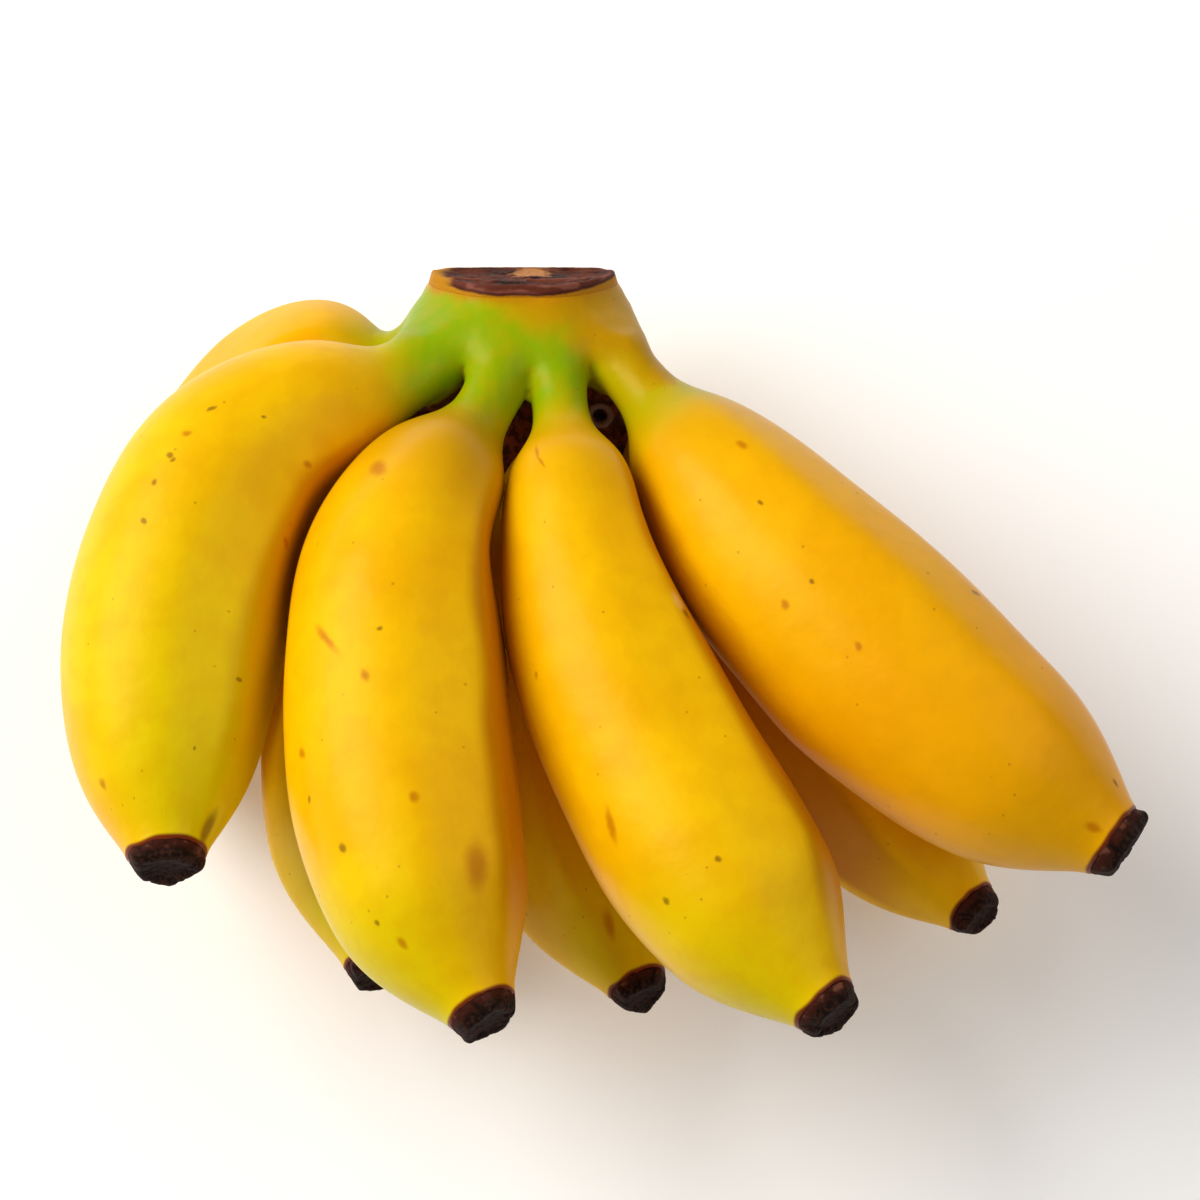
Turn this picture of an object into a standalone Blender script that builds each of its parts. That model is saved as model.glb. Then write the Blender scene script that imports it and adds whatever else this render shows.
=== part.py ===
"""A hand of apple bananas: eight short, plump fingers in two rows on one cut crown.

It lies on the backs of its four lower fingers, with the upper row nested over them and the blossom
ends lifted a little. The crown's cut faces +Y, the fingers run towards -Y and the upper row is +Z.
Each finger is swept along its own curved line from the crown, and its section is a soft polygon, so
that broad flats and low ridges run down it as they do on the real fruit.
"""

import bmesh
import bpy
import numpy as np
from mathutils import Vector

MM = 0.001  # the dimensions below are millimetres, and Blender's are metres

GAP = 0.3  # clear space between neighbouring solids
SIDES = 20  # corners round a finger
FINGER_RINGS = 17
NECK_RINGS = 5
TIP_SIDES = 16
ROUTE_SAMPLES = 300

# Radius along a finger, as a share of its fullest radius. SHOULDER goes by the distance past the end
# of the slim neck, and NOSE by the distance left to the blossom end.
SHOULDER = ((-20, 0.36), (-10, 0.32), (-2, 0.29), (3, 0.36), (9, 0.57), (17, 0.75), (28, 0.88), (44, 0.97))
NOSE = ((36, 0.995), (27, 0.95), (20, 0.86), (13.5, 0.71), (7, 0.49), (3, 0.37), (0, 0.35))
SWELL_FROM = 9.0  # a finger that swells slowly does so from here on
STOUT_REACH = (-2.0, 9.0)  # a finger's own neck width fades out between these
NOSE_REACH = (3.0, 20.0)  # and its own nose width fades in between these, by the distance left
SEAM_PAST_NECK = 3.0  # where the green neck ends and the yellow skin begins
FLAT_FADE = 25.0  # the flats fade in and out over this distance at both ends of a finger
FLAT_SHARPNESS = 12  # the higher, the crisper the ridges between the flats
PRESS_LENGTH = 15.0  # how far along a finger a pressed place fades out
PRESS_WIDTH = 40.0  # and how far round it, in degrees

# Each finger: its fullest radius, the length of its neck, how slowly it swells past the neck, how stout
# its neck and its nose are next to the usual, the ways its flats face (degrees round it, 90 is up),
# where its neighbours press it in (distance along it, degrees round it and depth, less than 0 where it
# bulges), and the points that its centre line passes.
FINGERS = {
    "front_1": {
        "radius": 17.4,
        "neck": 18,
        "swell": 1.0,
        "stout": 1.18,
        "nose": 1.0,
        "flats": (182, 131, 98, 66, 34, 2, 325, 277, 229),
        "pressed": ((37, 158, 2.4), (92, 0, 0.6)),
        "route": (
            (-23, 59.5, 38.8), (-32.6, 47.5, 42), (-45, 41, 45), (-58.5, 31, 47.5),
            (-67, 16, 50.5), (-71.5, -2, 52.5), (-71, -20, 54.5), (-69, -40.5, 60.5),
        ),
    },
    "front_2": {
        "radius": 18.2,
        "neck": 24.0,
        "swell": 1.0,
        "stout": 0.87,
        "nose": 0.87,
        "flats": (181, 126, 93, 61, 29, 356, 318, 272, 226),
        "pressed": ((37, 45, 3.0), (45, 197, 1.5), (117, 180, 1.2), (117, 350, 0.5)),
        "route": (
            (-16, 59.5, 39.5), (-18.2, 45.5, 44.5), (-24.6, 31.5, 50), (-32.3, 14.5, 55),
            (-33.5, -5.5, 58), (-31.7, -28.5, 60), (-25.5, -48.8, 63), (-17, -65.5, 68.5),
        ),
    },
    "front_3": {
        "radius": 17.7,
        "neck": 23.2,
        "swell": 1.6,
        "stout": 0.95,
        "nose": 0.86,
        "flats": (180, 127, 94, 62, 30, 357, 318, 272, 226),
        "pressed": ((37, 190, 2.0), (33, 0, 0.8), (120, 350, 0.8)),
        "route": (
            (-9, 59.5, 39.5), (-6.9, 42, 44.5), (-5.5, 28.5, 48.5), (-3.5, 12.5, 52.5),
            (2.5, -8, 55.5), (12, -28.5, 58), (23.5, -47.5, 61.5), (37, -64.5, 68),
        ),
    },
    "front_4": {
        "radius": 18.4,
        "neck": 20.5,
        "swell": 0.8,
        "stout": 1.0,
        "nose": 0.96,
        "flats": (178, 139, 94, 61, 28, 354, 318, 270, 222),
        "pressed": ((39, 15, 2.2), (45, 270, 0.8), (30, 160, 1.0)),
        "route": (
            (-3, 60, 38.5), (4.9, 47.3, 42), (10.8, 39.2, 43.2), (18.5, 27.5, 45.5),
            (30.0, 12.4, 49), (43.8, -1.2, 51.5), (59.2, -16.9, 53), (73.2, -27.7, 54), (84.9, -36.7, 56.5),
        ),
    },
    "back_1": {
        "radius": 15.4,
        "neck": 11.5,
        "swell": 0.6,
        "stout": 0.85,
        "nose": 0.95,
        "flats": (180, 108, 36, 324, 252),
        "pressed": ((20, 210, 1.2), (40, 180, 0.6), (41, 110, 1.0)),
        "route": (
            (-25.2, 61.8, 33), (-31.5, 56.2, 30), (-37.2, 53.4, 27.4), (-47.0, 52.8, 24.2),
            (-60.8, 40.4, 19), (-71, 19.5, 15.5), (-73, -3.5, 16), (-69, -27, 20.5),
        ),
    },
    "back_2": {
        "radius": 15.4,
        "neck": 18,
        "swell": 1.0,
        "stout": 1.0,
        "nose": 0.92,
        "flats": (180, 108, 36, 324, 252),
        "pressed": (),
        "route": (
            (-17.5, 63, 32), (-20, 51, 29), (-26.5, 42, 23.5), (-35.5, 27, 18.5),
            (-40, 6, 15.6), (-41.5, -13.5, 16.2), (-40, -34.8, 20), (-37.3, -54.3, 26.8),
        ),
    },
    "back_3": {
        "radius": 15.2,
        "neck": 18,
        "swell": 1.0,
        "stout": 1.0,
        "nose": 0.92,
        "flats": (180, 108, 36, 324, 252),
        "pressed": (),
        "route": (
            (-9.5, 63, 32), (-8.5, 51, 29), (-8.5, 40.5, 23), (-8.7, 23.5, 17.5),
            (-8, -1, 15.3), (-5.5, -20.5, 16.8), (0, -40, 21), (7.5, -57.5, 27.5),
        ),
    },
    "back_4": {
        "radius": 15.3,
        "neck": 16,
        "swell": 1.0,
        "stout": 1.0,
        "nose": 0.9,
        "flats": (19, 91, 163, 216, 270, 324),
        "pressed": ((45, 90, 0.8), (45, 0, 0.9), (74, 15, -2.8)),
        "route": (
            (-3.5, 62.5, 33), (1, 52, 30), (8.5, 42, 23.5), (21.5, 22, 16.4),
            (35.3, -1.2, 14.7), (47, -20, 16.2), (56.4, -34.3, 19.8), (65, -43.5, 24),
        ),
    },
}

# The crown's core fills the space between the necks. It is rounder on its upper side than under it.
# Its rings go by depth below the cut: half its width, its reach above its widest line, and below it.
CUT_CENTRE = (-13.2, 65.9, 37.2)
CUT_TILT = 29.0  # degrees that the cut face looks up from level
CUT_THICKNESS = 1.6  # the dark, dried layer
CORE_RINGS = (
    (-3, 14.6, 9.5, 2.9), (0, 15.4, 10, 3.4), (5, 17.8, 12.5, 6.2), (9, 18.4, 13.3, 7.5), (13, 16.6, 13, 8),
    (16, 14, 11.5, 7), (20, 9, 7, 4),
)
CORE_SIDES = 24
UPPER_SQUARENESS = 2.1  # 2 is an ellipse, and more is squarer
LOWER_SQUARENESS = 4.5

# Above its first ring each neck draws in towards the middle of the cut and fades into the core.
ROOT_TAPER = 0.6
ROOT_SPREAD = 0.5
ROOT_PAST_CUT = 2.0

# The dried blossom end, by distance past the skin: its radius as a share of the nose's end.
TIP_RINGS = ((0, 1.0), (0.9, 0.98), (2.2, 0.87), (3.0, 0.72), (2.7, 0.5))

COLOURS = {
    "skin": ((0.91, 0.50, 0.01), 0.42),
    "neck": ((0.33, 0.36, 0.01), 0.48),
    "blossom end": ((0.035, 0.012, 0.006), 0.85),
    "dried cut": ((0.09, 0.035, 0.015), 0.9),
}


def make_material(name):
    colour, roughness = COLOURS[name]
    material = bpy.data.materials.new(name)
    material.use_nodes = True
    shader = material.node_tree.nodes["Principled BSDF"]
    shader.inputs["Base Color"].default_value = (*colour, 1)
    shader.inputs["Roughness"].default_value = roughness
    shader.inputs["Metallic"].default_value = 0
    return material


def spline(knots, values, at):
    """A natural cubic spline through values at knots, read at the places in at."""
    knots = np.asarray(knots, float)
    values = np.asarray(values, float).reshape(len(knots), -1)
    count = len(knots)
    step = np.diff(knots)
    matrix = np.eye(count)
    right = np.zeros_like(values)
    for i in range(1, count - 1):
        matrix[i, i - 1 : i + 2] = step[i - 1], 2 * (step[i - 1] + step[i]), step[i]
        rise_after = (values[i + 1] - values[i]) / step[i]
        rise_before = (values[i] - values[i - 1]) / step[i - 1]
        right[i] = 6 * (rise_after - rise_before)
    bend = np.linalg.solve(matrix, right)
    at = np.atleast_1d(at)
    i = np.clip(np.searchsorted(knots, at) - 1, 0, count - 2)
    low = ((knots[i + 1] - at) / step[i])[:, None]
    high = ((at - knots[i]) / step[i])[:, None]
    span = (step[i] ** 2 / 6)[:, None]
    curve = low * values[i] + high * values[i + 1]
    return curve + span * ((low**3 - low) * bend[i] + (high**3 - high) * bend[i + 1])


def centre_line(route):
    """The smooth line through the route's points: the distance along it, and its points."""
    route = np.array(route, float)
    chords = np.append(0, np.cumsum(np.linalg.norm(np.diff(route, axis=0), axis=1)))
    points = spline(chords, route, np.linspace(0, chords[-1], ROUTE_SAMPLES))
    along = np.append(0, np.cumsum(np.linalg.norm(np.diff(points, axis=0), axis=1)))
    return along, points


def radius_at(finger, length, distance):
    knots = []
    shares = []
    for past, share in SHOULDER:
        place = finger["neck"] + past + max(past - SWELL_FROM, 0) * (finger["swell"] - 1)
        if place > -9:
            knots.append(place)
            shares.append(share * (1 + (finger["stout"] - 1) * np.interp(past, STOUT_REACH, (1, 0))))
    for left, share in NOSE:
        knots.append(length - left)
        shares.append(share * (1 + (finger["nose"] - 1) * np.interp(left, NOSE_REACH, (1, 0))))
    return finger["radius"] * spline(knots, shares, distance)[:, 0]


def section(finger, length, distance, angles):
    """Radius multipliers round the finger: a polygon with soft corners, round at the finger's ends."""
    total = np.zeros_like(angles)
    for flat in finger["flats"]:
        total += np.maximum(0, np.cos(angles - np.radians(flat))) ** FLAT_SHARPNESS
    polygon = total ** (-1 / FLAT_SHARPNESS)
    polygon /= polygon.mean()
    fade_in = np.clip((distance - finger["neck"]) / FLAT_FADE, 0.15, 1)
    fade_out = np.clip((length - distance) / FLAT_FADE, 0.2, 1)
    shares = 1 + (polygon - 1) * fade_in * fade_out
    for place, way, depth in finger["pressed"]:
        turn = (np.degrees(angles) - way + 180) % 360 - 180
        reach = ((distance - place) / PRESS_LENGTH) ** 2 + (turn / PRESS_WIDTH) ** 2
        shares -= depth / finger["radius"] * np.exp(-reach)
    return shares


def finger_rings(finger, start, end, count, sides):
    """Rings of points round the centre line, from start to end along it."""
    along, points = centre_line(finger["route"])
    slopes = np.gradient(points, along, axis=0)
    angles = np.linspace(0, 2 * np.pi, sides, endpoint=False)
    rings = []
    for distance in np.linspace(start, end, count):
        centre = Vector([np.interp(distance, along, points[:, k]) for k in range(3)])
        ahead = Vector([np.interp(distance, along, slopes[:, k]) for k in range(3)]).normalized()
        side = ahead.cross(Vector((0, 0, 1))).normalized()
        top = side.cross(ahead)
        radius = radius_at(finger, along[-1], distance)[0]
        shares = section(finger, along[-1], distance, angles)
        ring = []
        for angle, share in zip(angles, shares):
            out = side * np.cos(angle) + top * np.sin(angle)
            ring.append(centre + out * float(radius * share))
        rings.append(ring)
    return rings


def ring_solid(name, rings):
    """A closed solid through rings of points in millimetres, with a flat face on its first and last ring."""
    mesh = bmesh.new()
    loops = []
    for ring in rings:
        corners = [mesh.verts.new(point * MM) for point in ring]
        edges = [mesh.edges.new((a, b)) for a, b in zip(corners, corners[1:] + corners[:1])]
        loops.append((corners, edges))
    for (_, first), (_, second) in zip(loops, loops[1:]):
        bmesh.ops.bridge_loops(mesh, edges=first + second)
    mesh.faces.new(loops[0][0])
    mesh.faces.new(loops[-1][0])
    bmesh.ops.recalc_face_normals(mesh, faces=mesh.faces)
    return new_object(name, mesh)


def new_object(name, mesh):
    data = bpy.data.meshes.new(name)
    mesh.to_mesh(data)
    mesh.free()
    made = bpy.data.objects.new(name, data)
    bpy.context.scene.collection.objects.link(made)
    return made


def keep_side(made, place, normal):
    """Cuts the object with a plane, keeps what the normal points to, and closes the cut flat."""
    mesh = bmesh.new()
    mesh.from_mesh(made.data)
    bmesh.ops.bisect_plane(
        mesh,
        geom=mesh.verts[:] + mesh.edges[:] + mesh.faces[:],
        dist=1e-7,
        plane_co=place,
        plane_no=normal,
        clear_inner=True,
    )
    open_edges = [edge for edge in mesh.edges if edge.is_boundary]
    bmesh.ops.contextual_create(mesh, geom=open_edges)
    bmesh.ops.recalc_face_normals(mesh, faces=mesh.faces)
    mesh.to_mesh(made.data)
    mesh.free()


def finish(made, material):
    made.data.materials.clear()
    made.data.materials.append(material)
    made.data.shade_smooth()
    made.data.set_sharp_from_angle(angle=np.radians(50))


def finger_length(finger):
    return centre_line(finger["route"])[0][-1]


def make_finger(name, finger, material):
    tip_start = finger_length(finger) - TIP_RINGS[3][0]
    rings = finger_rings(finger, finger["neck"] + SEAM_PAST_NECK, tip_start, FINGER_RINGS, SIDES)
    made = ring_solid("finger_" + name, rings)
    keep_side(made, (0, 0, 0), (0, 0, 1))
    finish(made, material)


def make_tip(name, finger, material):
    """The dried blossom end: a thick disc with a worn edge and a dished face."""
    skin_end = finger_length(finger) - TIP_RINGS[3][0]
    nose = finger_rings(finger, skin_end - 1, skin_end, 2, TIP_SIDES)
    centre = sum(nose[1], Vector()) / TIP_SIDES
    ahead = (centre - sum(nose[0], Vector()) / TIP_SIDES).normalized()
    rings = []
    for past, share in TIP_RINGS:
        moved = centre + ahead * (past + GAP)
        rings.append([moved + (point - centre) * share for point in nose[1]])
    finish(ring_solid("tip_" + name, rings), material)


def core_rings():
    """Rings of the crown's core, from above the cut down between the necks."""
    tilt = np.radians(CUT_TILT)
    outward = Vector((0, np.cos(tilt), np.sin(tilt)))
    wide = Vector((1, 0, 0))
    thick = outward.cross(wide)
    rings = []
    for depth, half_width, above, below in CORE_RINGS:
        centre = Vector(CUT_CENTRE) - outward * depth
        ring = []
        for angle in np.linspace(0, 2 * np.pi, CORE_SIDES, endpoint=False):
            lower = np.sin(angle) > 0
            power = 2 / (LOWER_SQUARENESS if lower else UPPER_SQUARENESS)
            across = half_width * np.sign(np.cos(angle)) * abs(np.cos(angle)) ** power
            through = abs(np.sin(angle)) ** power * (below if lower else -above)
            ring.append(centre + wide * float(across) + thick * float(through))
        rings.append(ring)
    return rings, outward


def rooted(rings, outward):
    """A neck's rings with one more before them, drawn in and past the cut."""
    face = Vector(CUT_CENTRE)
    centre = sum(rings[0], Vector()) / SIDES
    aside = centre - face
    aside -= outward * aside.dot(outward)
    target = face + outward * ROOT_PAST_CUT + aside * ROOT_SPREAD
    first = [target + (point - centre) * ROOT_TAPER for point in rings[0]]
    return [first] + rings


def make_crown(neck_material, cut_material):
    """The necks and the core joined in one body, then parted from the dark layer at the cut."""
    rings, outward = core_rings()
    crown = ring_solid("crown", rings)
    necks = bpy.data.collections.new("necks")
    bpy.context.scene.collection.children.link(necks)
    for name, finger in FINGERS.items():
        end = finger["neck"] + SEAM_PAST_NECK - GAP
        neck_rings = finger_rings(finger, 0, end, NECK_RINGS, SIDES)
        neck = ring_solid("neck_" + name, rooted(neck_rings, outward))
        bpy.context.scene.collection.objects.unlink(neck)
        necks.objects.link(neck)
    union = crown.modifiers.new("necks", "BOOLEAN")
    union.operation = "UNION"
    union.operand_type = "COLLECTION"
    union.collection = necks
    union.solver = "EXACT"
    graph = bpy.context.evaluated_depsgraph_get()
    joined = bpy.data.meshes.new_from_object(crown.evaluated_get(graph))
    crown.modifiers.clear()
    crown.data = joined
    for neck in list(necks.objects):
        bpy.data.objects.remove(neck)
    bpy.data.collections.remove(necks)

    cut = bpy.data.objects.new("crown_cut", joined.copy())
    bpy.context.scene.collection.objects.link(cut)
    face = Vector(CUT_CENTRE)
    keep_side(cut, face * MM, -outward)
    keep_side(cut, (face - outward * CUT_THICKNESS) * MM, outward)
    keep_side(crown, (face - outward * (CUT_THICKNESS + GAP)) * MM, -outward)
    finish(crown, neck_material)
    finish(cut, cut_material)


def main():
    for old in list(bpy.data.objects):
        bpy.data.objects.remove(old)
    materials = {name: make_material(name) for name in COLOURS}
    for name, finger in FINGERS.items():
        make_finger(name, finger, materials["skin"])
        make_tip(name, finger, materials["blossom end"])
    make_crown(materials["neck"], materials["dried cut"])


main()
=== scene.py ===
import math
import random

import bmesh
import bpy
import numpy as np
from mathutils import Matrix, Vector, noise
from mathutils.bvhtree import BVHTree
from mathutils.interpolate import poly_3d_calc


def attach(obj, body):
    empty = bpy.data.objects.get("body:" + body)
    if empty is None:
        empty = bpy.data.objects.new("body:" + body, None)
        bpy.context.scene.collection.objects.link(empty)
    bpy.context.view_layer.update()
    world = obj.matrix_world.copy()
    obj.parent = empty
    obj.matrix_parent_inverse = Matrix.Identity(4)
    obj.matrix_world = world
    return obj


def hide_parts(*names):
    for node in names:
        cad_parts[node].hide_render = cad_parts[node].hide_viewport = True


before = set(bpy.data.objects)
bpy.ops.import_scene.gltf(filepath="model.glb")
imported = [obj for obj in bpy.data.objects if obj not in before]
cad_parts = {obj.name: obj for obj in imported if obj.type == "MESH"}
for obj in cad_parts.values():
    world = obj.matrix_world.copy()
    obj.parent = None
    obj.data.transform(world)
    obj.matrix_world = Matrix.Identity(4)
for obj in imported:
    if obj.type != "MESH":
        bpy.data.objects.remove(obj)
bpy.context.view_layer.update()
print("the packed hand is loaded")

mm = 0.001  # sizes below are in millimetres

# The camera stands where the photo was taken from: high over the blossom ends, looking down on the hand
cameraSetup = {
    "elevation": 78,  # degrees above the table
    "distance": 600,
    "target": (0, 9, 36),
    "sensor": 36,
    "pixelsPerMm": 5.92,  # at the target, in a picture 1200 pixels wide
    "picture": 1200,
}


def cameraFrame():
    tilt = math.radians(cameraSetup["elevation"])
    back = Vector((0, -math.cos(tilt), math.sin(tilt)))
    up = Vector((0, math.sin(tilt), math.cos(tilt)))
    place = Vector(cameraSetup["target"]) + back * cameraSetup["distance"]
    return place, Vector((1, 0, 0)), up, back


def makeCamera():
    place, right, up, back = cameraFrame()
    data = bpy.data.cameras.new("camera")
    data.sensor_width = cameraSetup["sensor"]
    focalPixels = cameraSetup["pixelsPerMm"] * cameraSetup["distance"]
    data.lens = cameraSetup["sensor"] * focalPixels / cameraSetup["picture"]
    data.dof.use_dof = False
    data.clip_start = 0.05
    data.clip_end = 20
    made = bpy.data.objects.new("camera", data)
    bpy.context.scene.collection.objects.link(made)
    made.matrix_world = Matrix.Translation(place * mm) @ Matrix((right, up, back)).transposed().to_4x4()
    bpy.context.scene.camera = made


def rayThrough(pixel):  # from the camera through a pixel of the photo
    place, right, up, back = cameraFrame()
    focalPixels = cameraSetup["pixelsPerMm"] * cameraSetup["distance"]
    middle = cameraSetup["picture"] / 2
    aim = right * (pixel[0] - middle) / focalPixels + up * (middle - pixel[1]) / focalPixels - back
    return place, aim.normalized()


def hitThrough(tree, pixel):  # where a pixel of the photo meets the surface, in millimetres
    place, aim = rayThrough(pixel)
    found = tree.ray_cast(place * mm, aim)[0]
    return np.array(found) / mm


makeCamera()
print("camera stands")


# Colours are sRGB hex, matched to the photo, and the shaders want them linear
def linear(colour):
    channels = [int(colour[i : i + 2], 16) / 255 for i in (1, 3, 5)]
    return tuple(c / 12.92 if c <= 0.04045 else ((c + 0.055) / 1.055) ** 2.4 for c in channels) + (1,)


def add(tree, kind, settings=(), links=()):  # one node, with its settings and what feeds it
    node = tree.nodes.new(kind)
    for name, value in dict(settings).items():
        if isinstance(name, int) or name in node.inputs:
            node.inputs[name].default_value = value
        else:
            setattr(node, name, value)
    for name, source in dict(links).items():
        tree.links.new(source, node.inputs[name])
    return node


def newMaterial(name):
    made = bpy.data.materials.new(name)
    made.use_nodes = True
    tree = made.node_tree
    tree.nodes.clear()
    shader = add(tree, "ShaderNodeBsdfPrincipled")
    add(tree, "ShaderNodeOutputMaterial", {}, {"Surface": shader.outputs[0]})
    return made, tree, shader


def readSources(tree, look, guide=None):
    # what the colours follow: fields kept on the mesh, and noises whose sizes are in mm. Those named
    # in "alongFlow" follow the fibres where the piece has a guide.
    place = add(tree, "ShaderNodeTexCoord").outputs["Object"]
    inMm = add(tree, "ShaderNodeVectorMath", {"operation": "SCALE", "Scale": 1000}, {0: place}).outputs[0]
    sources = {}
    for name in look["fields"]:
        sources[name] = add(tree, "ShaderNodeAttribute", {"attribute_name": name}).outputs["Fac"]
    for name, (sizes, detail) in look["noises"].items():
        start = guide if guide and name in look["alongFlow"] else inMm
        shares = tuple(1 / size for size in sizes)
        spread = add(tree, "ShaderNodeVectorMath", {"operation": "MULTIPLY", 1: shares}, {0: start})
        settings = {"Scale": 1.0, "Detail": detail}
        pattern = add(tree, "ShaderNodeTexNoise", settings, {"Vector": spread.outputs[0]})
        sources[name] = pattern.outputs["Fac"]
    return sources, inMm


def paint(tree, shader, sources, look):
    # Lays each colour over the last, as strongly as its masks let it: a mask is a field as it is, or a
    # field or noise that rises between two values. A layer whose field the piece lacks is left out.
    colour = look["base"]
    for strength, shade, *masks in look["layers"]:
        if not all(mask[0] in sources for mask in masks):
            continue
        share = None
        for name, *reach in masks:
            low, high = reach or (0.0, 1.0)
            rise = "SMOOTHSTEP" if reach else "LINEAR"
            settings = {"interpolation_type": rise, "From Min": low, "From Max": high}
            settings["To Max"] = 1.0 if share else strength
            risen = add(tree, "ShaderNodeMapRange", settings, {"Value": sources[name]}).outputs[0]
            if share:
                product = add(tree, "ShaderNodeMath", {"operation": "MULTIPLY"}, {0: share, 1: risen})
                risen = product.outputs[0]
            share = risen
        settings = {"data_type": "RGBA", 7: linear(shade)}
        links = {0: share}
        if isinstance(colour, str):
            settings[6] = linear(colour)
        else:
            links[6] = colour
        colour = add(tree, "ShaderNodeMix", settings, links).outputs[2]
    tree.links.new(colour, shader.inputs["Base Color"])
    height = None
    for name, depth in look["heights"]:
        settings = {"operation": "MULTIPLY_ADD", 1: depth, 2: 0.0}
        links = {0: sources[name], 2: height} if height else {0: sources[name]}
        height = add(tree, "ShaderNodeMath", settings, links).outputs[0]
    bump = add(tree, "ShaderNodeBump", {"Distance": mm, "Strength": 1.0}, {"Height": height})
    tree.links.new(bump.outputs[0], shader.inputs["Normal"])
    name, low, high, smooth, rough = look["roughness"]
    settings = {"From Min": low, "From Max": high, "To Min": smooth, "To Max": rough}
    shine = add(tree, "ShaderNodeMapRange", settings, {"Value": sources[name]})
    tree.links.new(shine.outputs[0], shader.inputs["Roughness"])
    shader.inputs["Specular IOR Level"].default_value = look["specular"]
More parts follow.
